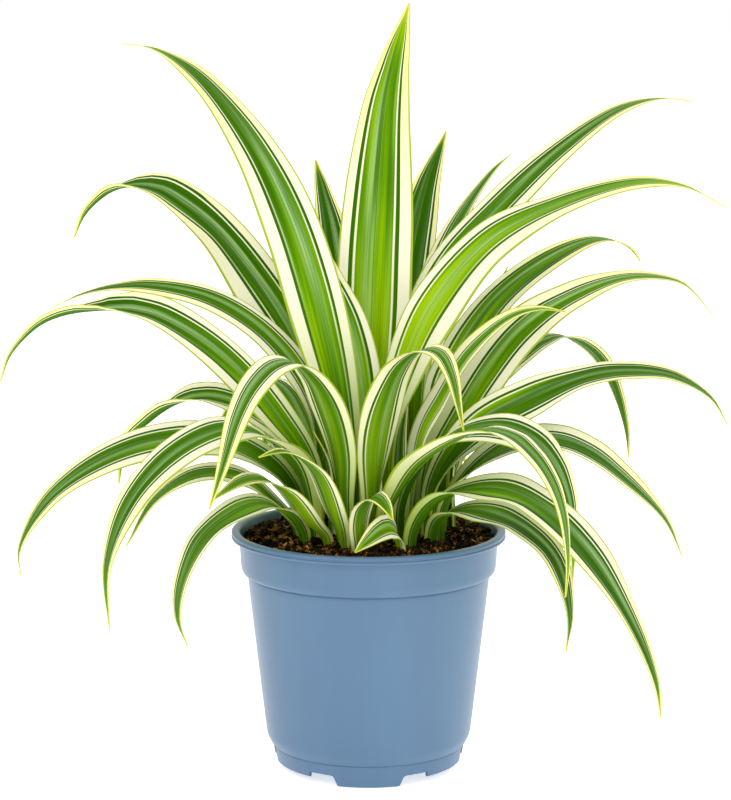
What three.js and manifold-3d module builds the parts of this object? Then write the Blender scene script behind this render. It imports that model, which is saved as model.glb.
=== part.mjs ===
// A variegated spider plant in a round plastic nursery pot.
// Millimetres, +Z up. The origin lies on the ground under the middle of the plant;
// -Y is the front, +X is to the right of someone who looks at the front.

import * as THREE from 'three';
import { mergeVertices } from 'three/addons/utils/BufferGeometryUtils.js';
import Module from 'manifold-3d';

const wasm = await Module();
wasm.setup();

// ---- driving dimensions ----

// pot
const POT_HEIGHT = 105;
const RIM_RADIUS = 60;
const RIM_INNER_RADIUS = 56;
const LIP_HEIGHT = 3.4;
const COLLAR_RADIUS = 56;
const COLLAR_BOTTOM = 88;
const BODY_TOP = 85.5;
const BODY_TOP_RADIUS = 52.5;
const BODY_BOTTOM = 16;
const BODY_BOTTOM_RADIUS = 44.7;
const FOOT_TOP = 10;
const FOOT_RADIUS = 42.3;
const FOOT_BOTTOM_RADIUS = 41;
const WALL = 1.6;
const FLOOR_UNDERSIDE = 7.5;
const FLOOR_TOP = 9.5;
const POT_SIDES = 56;
const DRAIN_HOLE_RADIUS = 4;
const DRAIN_RING_RADIUS = 27;
const DRAIN_HOLES = 6;

// the foot ring: three feet, three skirts between them that stop short of the ground,
// and a tall slot beside two of the skirts
const FOOT_HALF_ANGLE = 19.5;
const SKIRT_HEIGHT = 2.3;
const NOTCH_HEIGHT = 4.8;
const FEET = [270, 30, 150];
const SKIRTS = [[308.5, 346], [73, 107], [194, 231.5]];
const SLOTS = [[346, 353], [187, 194]];
const SLOT_HEIGHT = 9.4;

// soil
const SOIL_EDGE = 101;
const SOIL_CROWN = 102.5;
const SOIL_GAP = 0.3;
const SOIL_SIDES = 36;
const SOIL_RINGS = [0.95, 0.78, 0.6, 0.42, 0.22];
const SOIL_LUMPS = 0.9;

// leaves
const ROOT_HEIGHT = 90;
const LEAF_THICKNESS = 0.7;
const BASE_THICKNESS = 1.3;
const BASE_WIDTH_SHARE = 0.3;
const BASE_WIDTH_LEAST = 5;
const TIP_WIDTH = 0.9;
const WIDEST_AT = 0.45;
const TAPER = 1.55;
const BASE_FOLD = 42;
const BLADE_FOLD = 5;
const FOLD_RUN = 0.2;
const SECTION_SPACING = 17;

// colours
const LEAF_GREEN = 0x6f9e1c;
const POT_BLUE = 0x6a89a6;
const SOIL_BROWN = 0x33210f;

// Each leaf leaves the soil at its root [x, y] and follows one upright plane, whose heading is in
// degrees: 0 to the right, 90 to the back, 180 to the left, 270 to the front. Its midrib passes
// through the route's points, each [distance from the root, height, turn of the blade about the
// midrib in degrees]. Its width is that of its widest place; a larger taper keeps it full for longer,
// and a fold is the depth in degrees of the channel in its outer half, where the blade rolls over.
const LEAVES = {
  // tall leaves that stand over the middle
  tall_centre: { root: [1, 28], heading: 66, width: 34, taper: 2.2,
    route: [[-2, 115, 20], [0, 159, 18], [3.5, 203, 14], [6, 229, 14], [16, 285, 4], [26, 307, -6],
      [42, 331.5, -15]] },
  tall_left: { root: [-6, -6], heading: 146, width: 28, taper: 1.8,
    route: [[1, 118, -28], [5, 146, -28], [13.5, 180, -30], [33, 235.5, -31], [53.5, 270, -22], [83, 299.5, -13],
      [107, 311.5, 0], [126, 314, 8]] },
  tall_left_behind: { root: [-3, 6], heading: 129, width: 24,
    route: [[-1, 129, -20], [2, 160, -18], [11, 192, -8], [28, 216, 2], [48, 236, 12], [63, 253, 18], [74, 263, 20]] },
  spike_back_left: { root: [-8, 30], heading: 105, width: 21, taper: 2.3,
    route: [[1, 150, -10], [10, 188, -6], [24, 215, 0], [36, 233, 6], [49, 246, 10], [64, 260, 14]] },
  spike_back_right: { root: [5, 33], heading: 66, width: 24, taper: 2.2,
    route: [[7, 150, 14], [27, 198, 12], [43.5, 232.5, 6], [54.5, 250.5, 0], [76.5, 272.5, -14]] },
  spike_far_right: { root: [19, 32], heading: 54, width: 18,
    route: [[0.5, 150, 10], [5, 189, 8], [19.5, 212.5, 0], [36, 234, -6], [65, 255.5, -15], [81, 262.5, -20]] },

  // high arches
  high_right: { root: [20, 27], heading: 32, width: 24, taper: 1.9,
    route: [[1, 155, 14], [6, 195, 14], [21, 219.5, 15], [48, 243, 15], [78, 265, 13], [112.5, 283.5, 7],
      [137.5, 288, 3], [156, 286, 0]] },
  broad_right: { root: [8, -2], heading: 12, width: 28, taper: 1.8,
    route: [[1, 148, 24], [8.5, 175.5, 31], [21.5, 202, 39], [46, 230, 29], [78, 246, 19], [112, 254.5, 16],
      [134, 252.5, 10], [153, 243, 5]] },
  high_left: { root: [-14, 16], heading: 158, width: 28, taper: 1.7, fold: 24,
    route: [[5, 151, -14], [15, 174.5, -22], [37, 207, -38], [59, 233, -38], [82, 249, -34], [90.5, 251.5, -28],
      [98, 252, -18], [105.5, 251, -5], [113, 247.5, 3], [124, 237.5, 6], [129.5, 226.5, 2]] },
  slim_left: { root: [-22, 6.5], heading: 168, width: 19,
    route: [[1, 156, -22], [19, 185, -24], [46, 203, -31], [76, 209, -28], [94, 208, -18], [108, 204.5, -12],
      [122, 198, 0]] },
  broad_left: { root: [-23, -6], heading: 180, width: 25, fold: 24,
    route: [[1, 131, -28], [17, 156, -34], [41, 182.5, -33], [65, 199, -32], [77, 203, -27], [86.5, 204, -16],
      [95, 203.5, -3], [103, 202.5, 5], [110.5, 200.5, 8], [118, 197, 8], [125, 191, 8], [132, 182, 6],
      [136, 170.5, 0]] },
  mid_right_back: { root: [32, 13], heading: 29, width: 23, taper: 2.1,
    route: [[1, 160, 30], [9, 178, 19], [27, 201, 14], [52, 217.5, 14], [77, 226.5, 12], [90, 226, 8],
      [100, 221.5, 4], [105, 215.5, 5]] },
  mid_right: { root: [23, -4], heading: 4, width: 26,
    route: [[3, 131, 38], [15, 153, 38], [42, 191.5, 40], [65.5, 207.5, 26], [90, 215.5, 16], [112, 213, 8],
      [120, 206.5, 6], [126, 199, 5]] },
  short_right: { root: [16, -2.5], heading: 345, width: 20,
    route: [[6, 146, 32], [15, 164, 36], [27, 184, 36], [45, 200, 28], [58, 204, 18], [70, 203, 8]] },
  dark_right_back: { root: [28, 25], heading: 42, width: 14,
    route: [[3, 140, 0], [10, 168, -4], [31, 192, -8], [47, 214, -15]] },

  // low leaves that bow over on the left
  small_left_back: { root: [-28, 13], heading: 160, width: 19, fold: 34,
    route: [[3, 135, -12], [22, 152, -16], [44, 159.5, -26], [55, 159, -24], [62, 157, -10], [68, 153.5, 6],
      [75.5, 147.5, 16], [87, 136.5, 12], [91, 116.5, 0]] },
  low_left: { root: [-28, 3], heading: 194, width: 28,
    route: [[0, 111.5, -24], [12, 131, -30], [36, 144.5, -24], [63, 145.5, -22], [89, 138, -22], [112, 122.5, -16],
      [125, 101, -4], [124.5, 89, 0]] },
  droop_left: { root: [-23, -15], heading: 214, width: 27,
    route: [[0, 112, 0], [9, 139, 4], [31, 154, -8], [47, 155, -14], [69.5, 147, -12], [89.5, 130, -5],
      [101.5, 104.5, 6], [101, 77, 8]] },
  small_left: { root: [-30, -4], heading: 200, width: 18,
    route: [[1, 106, -20], [9, 116, -22], [25.5, 130, -20], [46, 133, -14], [65, 123, -6], [78, 103.5, 0]] },
  rim_left: { root: [-28, -16], heading: 224, width: 20,
    route: [[0, 106, 0], [6.5, 115, 0], [19, 122, -12], [30.5, 123, -10], [56.5, 113.5, 3], [69, 95.5, 14],
      [71, 81, 16], [66, 68, 16]] },
  hooked_left: { root: [-8, -18], heading: 222, width: 21,
    route: [[3, 119.5, 0], [5.5, 143, 6], [12.5, 163, 8], [20, 175.5, 2], [30.5, 184, -6], [42, 183.5, -14],
      [53, 176, -17], [61, 165, -15], [71, 141, -6], [77, 127.5, 0]] },
  short_front_left: { root: [-18, -21], heading: 220, width: 17,
    route: [[0, 105, 0], [8, 113, 4], [21, 128, 0], [33, 135, -12], [44, 136, -12], [62, 129, 4]] },
  short_front: { root: [-11, -27], heading: 226, width: 17,
    route: [[0, 106, -8], [5, 118, -6], [15, 137, -5], [27, 146, -8], [36, 149, -8], [49, 148, 0]] },
  curl_front: { root: [-4, -33], heading: 318, width: 15,
    route: [[0, 106, 10], [0, 114, 8], [2, 121, 4], [6, 126, 12], [10, 127, 20], [15, 124, 20], [19, 118, 10]] },
  curl_soil: { root: [14, -31], heading: 215, width: 13,
    route: [[1, 105, -10], [2, 110, -30], [6, 113, -50], [11, 112, -52], [18, 108, -45], [24, 104, -30]] },

  // low leaves that bow over on the right
  small_right_back: { root: [37, 14], heading: 20, width: 20,
    route: [[0, 141, 5], [9.5, 156.5, 6], [20.5, 168.5, 8], [31.5, 177.5, 8], [42.5, 184, 6], [52.5, 186, -2],
      [63, 182, -11], [72, 174, -14], [80, 158.5, -14], [85, 140.5, -8], [86, 128.5, 0]] },
  long_right: { root: [25, -15], heading: 348, width: 25,
    route: [[3, 128, 34], [20, 151.5, 42], [44, 166, 38], [70, 177, 22], [87, 179.5, 18], [105, 178, 12],
      [121, 169, 6], [128, 158, 0]] },
  low_right: { root: [31, -12], heading: 334, width: 25,
    route: [[0, 113, 14], [4, 124, 18], [14, 135.5, 24], [27.5, 145.5, 24], [40.5, 150, 20], [53.5, 151.5, 16],
      [68.5, 147.5, 12], [83, 138.5, 6], [102.5, 121, -4], [110, 106, -8]] },
  hooked_right: { root: [0, -16], heading: 318, width: 20,
    route: [[1.5, 118.5, 0], [3.5, 143, -14], [8, 162, -16], [15.5, 178, -10], [24, 186.5, 0], [32.5, 189.5, 6],
      [40.5, 188, 6], [46.5, 179.5, 3], [50, 168, 0], [53, 157, 0]] },
  front_right_inner: { root: [14, -16], heading: 326, width: 25, taper: 1.8,
    route: [[-1, 117, 8], [7, 134.5, 10], [19.5, 147.5, 16], [34.5, 154.5, 18], [50, 156.5, 20], [64.5, 153, 16],
      [75, 144.5, 8], [81.5, 133, 0], [84.5, 119.5, -6], [85, 95, -12]] },
  front_right: { root: [6, -23], heading: 307, width: 21,
    route: [[1, 115, 0], [9.5, 128.5, 0], [21.5, 141, 0], [43, 153.5, 0], [63, 161, 4], [82, 162, -6],
      [95, 157.5, -14], [107.5, 148.5, -20], [115.5, 136.5, -24], [119.5, 117, -26], [118.5, 102, -26]] },
  droop_right: { root: [18, -27], heading: 314, width: 28,
    route: [[0.5, 108, 10], [8, 120, 6], [22, 130, 8], [48, 135, 16], [73.5, 131.5, 0], [100, 116.5, -2],
      [124, 91, -12], [136, 70, -17], [139, 56, -20]] },
  rim_right: { root: [27, -22], heading: 304, width: 21,
    route: [[0.5, 107, 8], [6, 115.5, 6], [20, 121.5, 10], [41.5, 123.5, 14], [67, 120.5, -2], [86.5, 111, -12],
      [95.5, 91.5, -24], [93.5, 75.5, -28]] },
};

// The leaves at the back and the young ones in the middle follow one plain bow:
// [root x, root y, heading, width, reach, height of the crest, height of the tip].
const BOWS = {
  back_low_right: [33, 24, 38, 15, 54, 148, 130],
  back_short_right: [24, 32, 49, 16, 70, 162, 140],
  back_droop_right: [20, 36, 70, 18, 77, 147, 114],
  back_mid_right: [12, 38, 72, 20, 93, 172, 112],
  back_small_right: [5, 43, 82, 15, 72, 138, 66],
  back_broad: [1, 38, 89, 22, 88, 184, 136],
  back_small_left: [-7, 42, 97, 16, 72, 140, 64],
  back_mid_left: [-14, 36, 105, 20, 94, 171, 112],
  back_droop_left: [-24, 32, 111, 19, 77, 146, 118],
  back_short_left: [-22, 23, 132, 16, 72, 163, 138],
  back_low_left: [-30, 21, 145, 15, 64, 148, 124],
};
const BOW_SHAPE = [[0.03, 0.3], [0.12, 0.66], [0.34, 0.96], [0.52, 1]];
const BOW_DROP = [[0.8, 0.42], [1, 1]];

const SHOOTS = {
  young_middle: [1, -9, 90, 10, 5, 168],
  young_left: [-16, -9, 200, 10, 8, 150],
  young_right: [13, 9, 60, 10, 8, 160],
};
const SHOOT_SHAPE = [[0.02, 0.35], [0.2, 0.72], [1, 1]];

const plant = new THREE.Group();

// ---- solids ----

function solidOf(geometry) {
  for (const name of ['normal', 'uv']) geometry.deleteAttribute(name);
  const merged = mergeVertices(geometry, 1e-4);
  const mesh = new wasm.Mesh({
    numProp: 3,
    vertProperties: new Float32Array(merged.attributes.position.array),
    triVerts: new Uint32Array(merged.index.array),
  });
  return new wasm.Manifold(mesh);
}

function geometryOf(solid) {
  const mesh = solid.getMesh();
  const geometry = new THREE.BufferGeometry();
  geometry.setAttribute('position', new THREE.BufferAttribute(new Float32Array(mesh.vertProperties), 3));
  geometry.setIndex(new THREE.BufferAttribute(new Uint32Array(mesh.triVerts), 1));
  return geometry;
}

function addMesh(name, geometry, color, roughness) {
  const material = new THREE.MeshStandardMaterial({ color, roughness, metalness: 0 });
  const mesh = new THREE.Mesh(geometry, material);
  mesh.name = name;
  plant.add(mesh);
}

// A profile of [radius, height] points, turned about the upright axis.
function turned(profile, sides) {
  const points = profile.map(([radius, height]) => new THREE.Vector2(radius, height));
  return new THREE.LatheGeometry(points, sides).rotateX(Math.PI / 2);
}

// ---- pot ----

// A block that covers the foot ring between two directions, from below the ground to a height.
function footCutter(fromDegrees, toDegrees, height) {
  const steps = 6;
  const outline = [];
  for (const radius of [FOOT_BOTTOM_RADIUS - 5, FOOT_RADIUS + 5]) {
    for (let i = 0; i <= steps; i += 1) {
      const share = radius < FOOT_RADIUS ? i / steps : 1 - i / steps;
      const angle = THREE.MathUtils.degToRad(fromDegrees + (toDegrees - fromDegrees) * share);
      outline.push(new THREE.Vector2(radius * Math.cos(angle), radius * Math.sin(angle)));
    }
  }
  const below = 1;
  const block = new THREE.ExtrudeGeometry(new THREE.Shape(outline), { depth: height + below, bevelEnabled: false });
  return block.translate(0, 0, -below);
}

function potGeometry() {
  const lipBottom = POT_HEIGHT - LIP_HEIGHT;
  const bodyInner = (radius) => radius - WALL;
  const outside = [
    [0, FLOOR_UNDERSIDE],
    [FOOT_BOTTOM_RADIUS - WALL, FLOOR_UNDERSIDE],
    [FOOT_BOTTOM_RADIUS - WALL, 0],
    [FOOT_BOTTOM_RADIUS, 0],
    [FOOT_RADIUS, FOOT_TOP - 0.6],
    [FOOT_RADIUS + 0.4, FOOT_TOP + 0.4],
    [FOOT_RADIUS + 1.6, FOOT_TOP + 3.4],
    [BODY_BOTTOM_RADIUS, BODY_BOTTOM],
    [BODY_TOP_RADIUS, BODY_TOP - 1],
    [BODY_TOP_RADIUS + 0.3, BODY_TOP],
    [COLLAR_RADIUS - 1.2, COLLAR_BOTTOM - 0.5],
    [COLLAR_RADIUS - 0.8, COLLAR_BOTTOM + 1],
    [COLLAR_RADIUS + 0.3, lipBottom - 0.3],
    [RIM_RADIUS - 0.6, lipBottom],
    [RIM_RADIUS, lipBottom + 0.6],
    [RIM_RADIUS, POT_HEIGHT - 1],
    [RIM_RADIUS - 0.9, POT_HEIGHT],
  ];
  const inside = [
    [RIM_INNER_RADIUS + 0.7, POT_HEIGHT],
    [RIM_INNER_RADIUS, POT_HEIGHT - 0.7],
    [bodyInner(COLLAR_RADIUS), SOIL_EDGE - 3],
    [bodyInner(COLLAR_RADIUS - 1), COLLAR_BOTTOM],
    [bodyInner(BODY_TOP_RADIUS), BODY_TOP - 1.5],
    [bodyInner(BODY_BOTTOM_RADIUS), BODY_BOTTOM],
    [bodyInner(FOOT_RADIUS), FLOOR_TOP + 1],
    [bodyInner(FOOT_RADIUS) - 1.5, FLOOR_TOP],
    [0, FLOOR_TOP],
  ];
  let pot = solidOf(turned([...outside, ...inside], POT_SIDES));
  for (const [from, to] of SKIRTS) pot = pot.subtract(solidOf(footCutter(from, to, SKIRT_HEIGHT)));
  for (const [from, to] of SLOTS) pot = pot.subtract(solidOf(footCutter(from, to, SLOT_HEIGHT)));
  FEET.forEach((foot, i) => {
    const [skirtFrom] = SKIRTS[i];
    const [, skirtTo] = SKIRTS[(i + FEET.length - 1) % FEET.length];
    const before = skirtTo < foot + FOOT_HALF_ANGLE ? skirtTo : skirtTo - 360;
    const after = skirtFrom > foot - FOOT_HALF_ANGLE ? skirtFrom : skirtFrom + 360;
    pot = pot.subtract(solidOf(footCutter(before, foot - FOOT_HALF_ANGLE, NOTCH_HEIGHT)));
    pot = pot.subtract(solidOf(footCutter(foot + FOOT_HALF_ANGLE, after, NOTCH_HEIGHT)));
  });
  for (let i = 0; i < DRAIN_HOLES; i += 1) {
    const angle = (i + 0.5) / DRAIN_HOLES * Math.PI * 2;
    const hole = new THREE.CylinderGeometry(DRAIN_HOLE_RADIUS, DRAIN_HOLE_RADIUS, 6, 10).rotateX(Math.PI / 2);
    hole.translate(DRAIN_RING_RADIUS * Math.cos(angle), DRAIN_RING_RADIUS * Math.sin(angle), FLOOR_UNDERSIDE + 1);
    pot = pot.subtract(solidOf(hole));
  }
  return geometryOf(pot);
}

// ---- leaves ----

function bowRoute([, , , , reach, crest, tip]) {
  const rise = crest - SOIL_EDGE;
  const up = BOW_SHAPE.map(([out, share]) => [out * reach, SOIL_EDGE + share * rise, 0]);
  const down = BOW_DROP.map(([out, share]) => [out * reach, crest - share * (crest - tip), 0]);
  return [...up, ...down];
}

function shootRoute([, , , , reach, height]) {
  return SHOOT_SHAPE.map(([out, share]) => [out * reach, SOIL_EDGE + share * (height - SOIL_EDGE), 0]);
}

function asLeaf(values, route) {
  const [x, y, heading, width] = values;
  return { root: [x, y], heading, width, route };
}

function allLeaves() {
  const leaves = { ...LEAVES };
  for (const [name, values] of Object.entries(BOWS)) leaves[name] = asLeaf(values, bowRoute(values));
  for (const [name, values] of Object.entries(SHOOTS)) leaves[name] = asLeaf(values, shootRoute(values));
  return leaves;
}

function smooth(share) {
  const s = Math.min(Math.max(share, 0), 1);
  return s * s * (3 - 2 * s);
}

// Width at a share of the length: a narrow folded base, widest before the middle, a long fine tip.
function widthAt(leaf, share) {
  const base = Math.max(leaf.width * BASE_WIDTH_SHARE, BASE_WIDTH_LEAST);
  if (share < WIDEST_AT) return base + (leaf.width - base) * smooth(share / WIDEST_AT);
  const past = (share - WIDEST_AT) / (1 - WIDEST_AT);
  return TIP_WIDTH + (leaf.width - TIP_WIDTH) * (1 - past ** (leaf.taper ?? TAPER)) ** 0.95;
}

// The fold at a share of the length: a deep channel at the base, nearly flat in the middle,
// and deeper again in the outer half of a leaf that has its own fold.
function foldAt(leaf, share) {
  const inner = THREE.MathUtils.lerp(BASE_FOLD, BLADE_FOLD, smooth(share / WIDEST_AT));
  return THREE.MathUtils.lerp(inner, leaf.fold ?? BLADE_FOLD, smooth((share - WIDEST_AT) / FOLD_RUN));
}

// The midrib as places evenly spaced along it, each with its direction and its turn.
function midrib(leaf) {
  const heading = THREE.MathUtils.degToRad(leaf.heading);
  const out = new THREE.Vector3(Math.cos(heading), Math.sin(heading), 0);
  const points = [[0, ROOT_HEIGHT, leaf.route[0][2]], ...leaf.route];
  const places = points.map(([reach, height]) => out.clone().multiplyScalar(reach)
    .add(new THREE.Vector3(leaf.root[0], leaf.root[1], height)));
  const curve = new THREE.CatmullRomCurve3(places, false, 'centripetal');
  const sections = Math.max(8, Math.round(curve.getLength() / SECTION_SPACING));
  const stations = [];
  for (let i = 0; i <= sections; i += 1) {
    const share = i / sections;
    const along = curve.getUtoTmapping(share) * (points.length - 1);
    const before = Math.min(Math.floor(along), points.length - 2);
    const turn = THREE.MathUtils.lerp(points[before][2], points[before + 1][2], smooth(along - before));
    stations.push({ share, place: curve.getPointAt(share), ahead: curve.getTangentAt(share), turn });
  }
  return { stations, out };
}

// A blade folded along its midrib: at each station an upper and a lower row of three points,
// from one edge over the midrib to the other.
function leafGeometry(leaf, grow = 0) {
  const { stations, out } = midrib(leaf);
  const level = new THREE.Vector3(-out.y, out.x, 0);
  const vertices = [];
  stations.forEach(({ share, place, ahead, turn }) => {
    const face = new THREE.Vector3().crossVectors(ahead, level);
    const roll = THREE.MathUtils.degToRad(turn);
    const side = level.clone().multiplyScalar(Math.cos(roll)).addScaledVector(face, Math.sin(roll));
    const up = new THREE.Vector3().crossVectors(ahead, side);
    const fold = THREE.MathUtils.degToRad(foldAt(leaf, share));
    const thick = THREE.MathUtils.lerp(BASE_THICKNESS, LEAF_THICKNESS, smooth(share * 3)) / Math.cos(fold);
    const half = widthAt(leaf, share) / 2 + grow;
    const sunk = half * Math.sin(fold) / 2;
    const start = place.clone().addScaledVector(ahead, share === 0 ? -grow : 0);
    for (const layer of [grow, -thick - grow]) {
      for (const edge of [1, 0, -1]) {
        vertices.push(start.clone()
          .addScaledVector(side, edge * half * Math.cos(fold))
          .addScaledVector(up, Math.abs(edge) * half * Math.sin(fold) - sunk + layer));
      }
    }
  });
  const faces = [];
  const last = (stations.length - 1) * 6;
  for (let i = 0; i < last; i += 6) {
    for (const j of [0, 1]) {
      const [a, b, c, d] = [i + j, i + j + 1, i + j + 7, i + j + 6];
      faces.push([a, b, c], [a, c, d], [a + 3, c + 3, b + 3], [a + 3, d + 3, c + 3]);
    }
    faces.push([i, i + 6, i + 9], [i, i + 9, i + 3], [i + 2, i + 11, i + 8], [i + 2, i + 5, i + 11]);
  }
  for (const j of [0, 1]) {
    faces.push([j, j + 3, j + 4], [j, j + 4, j + 1]);
    faces.push([last + j, last + j + 4, last + j + 3], [last + j, last + j + 1, last + j + 4]);
  }
  const geometry = new THREE.BufferGeometry().setFromPoints(vertices);
  geometry.setIndex(faces.flat());
  return geometry;
}

// ---- soil ----

// Gentle clods: the height of the soil above its edge, worked out from the place.
function clods(x, y) {
  return SOIL_LUMPS * (Math.sin(x * 0.31 + 1.7 * Math.sin(y * 0.23)) + Math.sin(y * 0.37 + 1.3 * Math.sin(x * 0.19))) / 2;
}

function soilGeometry(leaves) {
  const gap = SOIL_GAP + WALL;
  const profile = [
    [FOOT_RADIUS - gap - 1.8, FLOOR_TOP + SOIL_GAP],
    [BODY_BOTTOM_RADIUS - gap, BODY_BOTTOM],
    [BODY_TOP_RADIUS - gap, BODY_TOP - 1.5],
    [COLLAR_RADIUS - 1 - gap, COLLAR_BOTTOM + 0.3],
    [COLLAR_RADIUS - gap, SOIL_EDGE],
  ];
  const rings = profile.map(([radius, height]) => () => [radius, height]);
  for (const share of SOIL_RINGS) {
    const radius = share * (COLLAR_RADIUS - gap);
    rings.push((x, y) => [radius, THREE.MathUtils.lerp(SOIL_CROWN, SOIL_EDGE, share ** 2) + clods(x * radius, y * radius)]);
  }
  const vertices = [];
  for (const ring of rings) {
    for (let i = 0; i < SOIL_SIDES; i += 1) {
      const angle = i / SOIL_SIDES * Math.PI * 2;
      const [x, y] = [Math.cos(angle), Math.sin(angle)];
      const [radius, height] = ring(x, y);
      vertices.push(new THREE.Vector3(radius * x, radius * y, height));
    }
  }
  const bottom = vertices.push(new THREE.Vector3(0, 0, FLOOR_TOP + SOIL_GAP)) - 1;
  const top = vertices.push(new THREE.Vector3(0, 0, SOIL_CROWN + clods(0, 0))) - 1;
  const faces = [];
  const lastRing = (rings.length - 1) * SOIL_SIDES;
  for (let i = 0; i < SOIL_SIDES; i += 1) {
    const next = (i + 1) % SOIL_SIDES;
    for (let ring = 0; ring < lastRing; ring += SOIL_SIDES) {
      faces.push([ring + i, ring + next, ring + next + SOIL_SIDES], [ring + i, ring + next + SOIL_SIDES, ring + i + SOIL_SIDES]);
    }
    faces.push([bottom, next, i], [top, lastRing + i, lastRing + next]);
  }
  const geometry = new THREE.BufferGeometry().setFromPoints(vertices);
  geometry.setIndex(faces.flat());
  let soil = solidOf(geometry);
  for (const leaf of leaves) soil = soil.subtract(solidOf(leafGeometry(leaf, SOIL_GAP)));
  return geometryOf(soil);
}

// ---- assembly ----

const leaves = allLeaves();
addMesh('pot', potGeometry(), POT_BLUE, 0.45);
addMesh('soil', soilGeometry(Object.values(leaves)), SOIL_BROWN, 0.95);
for (const [name, leaf] of Object.entries(leaves)) addMesh(`leaf_${name}`, leafGeometry(leaf), LEAF_GREEN, 0.5);

export default plant;
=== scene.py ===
# A variegated spider plant in a round plastic nursery pot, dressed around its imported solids.
# Metres, +Z up; -Y is the front and +X the right. Sizes below are in millimetres, times MM.

import math
import random
from bisect import bisect_left

import bpy
from mathutils import Euler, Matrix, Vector, noise


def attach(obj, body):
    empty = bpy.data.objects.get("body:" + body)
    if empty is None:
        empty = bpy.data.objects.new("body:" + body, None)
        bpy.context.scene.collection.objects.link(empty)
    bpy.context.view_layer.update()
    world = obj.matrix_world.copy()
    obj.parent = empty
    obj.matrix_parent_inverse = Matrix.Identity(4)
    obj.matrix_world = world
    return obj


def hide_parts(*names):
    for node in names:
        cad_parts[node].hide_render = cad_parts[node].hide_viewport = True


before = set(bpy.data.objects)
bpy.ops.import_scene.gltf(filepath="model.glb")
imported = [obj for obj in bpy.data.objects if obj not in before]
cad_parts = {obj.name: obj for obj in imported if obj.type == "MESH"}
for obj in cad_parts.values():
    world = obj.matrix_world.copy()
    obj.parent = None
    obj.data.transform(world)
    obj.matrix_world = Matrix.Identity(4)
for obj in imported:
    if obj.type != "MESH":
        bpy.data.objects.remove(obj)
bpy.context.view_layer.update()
MM = 0.001


# ---- the pot ----
# A thin-walled nursery pot, injection moulded in one piece from dusty blue polypropylene: a narrow lip,
# a collar, a tapered body, and a foot ring cut into three feet with low skirts between them.
# It is drawn up as one turned wall, its foot is then notched, and its floor drilled for drainage.

POT_SIDES = 192
FOOT_BOTTOM_RADIUS = 41
FLOOR_UNDERSIDE = 7.5
FLOOR_TOP = 9.5
SKIRT_HEIGHT = 2.3
NOTCH_HEIGHT = 4.8
SLOT_HEIGHT = 10.5
BOTTOM_EDGE_HEIGHT = 1
CUT_INSIDE = 5
CUT_OUTSIDE = 7
# directions in degrees: of the feet, of each notch from a foot's corner to its far end, and of the slots;
# a skirt starts SKIRT_STARTS degrees from the middle of a foot
FEET = (270, 30, 150)
FOOT_HALF_ANGLE = 19.5
SKIRT_STARTS = FOOT_HALF_ANGLE + 8
FOOT_NOTCHES = ((250.5, 231.5), (289.5, 308.5), (10.5, -14), (49.5, 73), (130.5, 107), (169.5, 194))
SIDE_SLOTS = ((187, 194), (-14, -7))
# the side of a foot, as degrees from its corner and height: rounded at the ground, leaning, and coved at
# the top
FOOT_SIDE = (
    (-2.1, -1), (-1.9, 0), (-1.1, 0.15), (-0.45, 0.5), (0, 1.2), (1.5, 3.8), (2.1, 4.4), (3.2, 4.7),
    (4.6, NOTCH_HEIGHT),
)
DRAIN_HOLES = 6
DRAIN_HOLE_RADIUS = 4
DRAIN_RING_RADIUS = 27

# radius and height, from the underside of the floor round the outside to the floor inside
POT_WALL = [
    # the foot ring, and the step under the body
    (39.4, FLOOR_UNDERSIDE), (39.4, 0.7), (39.6, 0.2), (40, 0), (40.4, 0.03), (40.8, 0.25), (41.05, 0.8),
    (42.1, 8.8), (42.15, 9.2), (42.05, 9.55), (41.95, 9.75), (42.2, 9.86), (42.6, 9.95), (42.85, 10.2),
    # the body
    (43.3, 10.9), (43.8, 12.1), (44.55, 13.4), (44.9, 14.8), (45.1, 16), (45.3, 17.4), (46.9, 31),
    (48.5, 45), (50.1, 59), (51.7, 73), (52.85, 83.3), (53, 84.9), (52.98, 85.6), (52.8, 85.95),
    # the collar
    (53, 86.15), (53.6, 86.25), (54.4, 86.5), (55.1, 87), (55.55, 87.7), (55.75, 88.6), (55.9, 89.8),
    (56.15, 94), (56.55, 100.3), (56.6, 101), (56.8, 101.35), (57.5, 101.45),
    # the lip
    (59, 101.5), (59.6, 101.62), (59.9, 101.9), (60, 102.3), (59.94, 102.65), (59.6, 102.85),
    (59.6, 103.4), (59.94, 103.65), (59.92, 104.35), (59.65, 104.75), (59.2, 104.95), (58.6, 105),
    (57.4, 104.92), (56.7, 104.75), (56.3, 104.35), (56.05, 103.6),
    # down the inside
    (54.9, 100), (54.4, 98), (53.6, 88), (53, 86.8), (51.2, 85), (50.9, 83), (47.9, 59), (44.7, 31),
    (43, 16), (41.6, 12.6), (40.7, 10.7), (40.1, 9.9), (39, FLOOR_TOP),
]


def drawn_wall(name, profile, sides):
    """A disc at the profile's first point, extruded through the rest of them; its caps close it."""
    (radius, height), *rings = profile
    bpy.ops.object.select_all(action="DESELECT")
    bpy.ops.mesh.primitive_circle_add(
        vertices=sides, radius=radius * MM, fill_type="NGON", location=(0, 0, height * MM))
    piece = bpy.context.object
    piece.name = piece.data.name = name
    bpy.ops.object.mode_set(mode="EDIT")
    bpy.ops.mesh.select_all(action="SELECT")
    for wide, high in rings:
        bpy.ops.mesh.extrude_region_move(TRANSFORM_OT_translate={"value": (0, 0, (high - height) * MM)})
        bpy.ops.transform.resize(value=(wide / radius, wide / radius, 1))
        radius, height = wide, high
    bpy.ops.mesh.select_all(action="SELECT")
    bpy.ops.mesh.normals_make_consistent(inside=False)
    bpy.ops.object.mode_set(mode="OBJECT")
    bpy.ops.object.transform_apply(location=True, rotation=True, scale=True)
    return piece


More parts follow.
